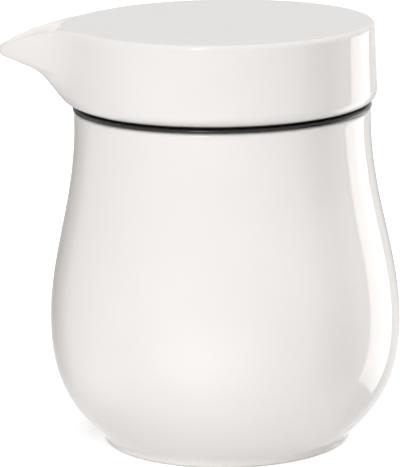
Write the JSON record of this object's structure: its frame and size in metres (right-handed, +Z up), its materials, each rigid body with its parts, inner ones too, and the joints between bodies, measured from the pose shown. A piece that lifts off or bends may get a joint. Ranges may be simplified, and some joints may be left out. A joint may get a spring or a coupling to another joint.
{
  "type": "sauce jug",
  "caption": "Handleless sauce jug: bellied hollow-walled porcelain body, closed by a flat porcelain lid with a beak pouring spout that a black silicone ring seals in the neck.",
  "frame": {"origin": "middle of the foot ring, on the plane the jug stands on", "axes": "+Z up along the jug's axis, -X towards the tip of the spout, +Y to the far side in the picture"},
  "size_m": [0.1193, 0.106, 0.1277],
  "materials": {
    "body_porcelain": "clear gloss glaze on white porcelain",
    "lid_porcelain": "clear gloss glaze on white porcelain",
    "ring_silicone": "satin black silicone",
    "plug_silicone": "matt grey silicone"
  },
  "bodies": {
    "jug": {"jug_body": "body_porcelain", "vent_plug": "plug_silicone"},
    "seal": {"seal_ring": "ring_silicone"},
    "lid": {"spout_lid": "lid_porcelain"}
  },
  "joints": [
    {"name": "lid_lift", "type": "slide", "parent": "jug", "child": "seal", "axis": [0, 0, 1], "range_m": [0, 0.06]},
    {"name": "lid_turn", "type": "hinge", "parent": "seal", "child": "lid", "pos_m": [0, 0, 0.1039], "axis": [0, 0, 1], "continuous": true}
  ]
}
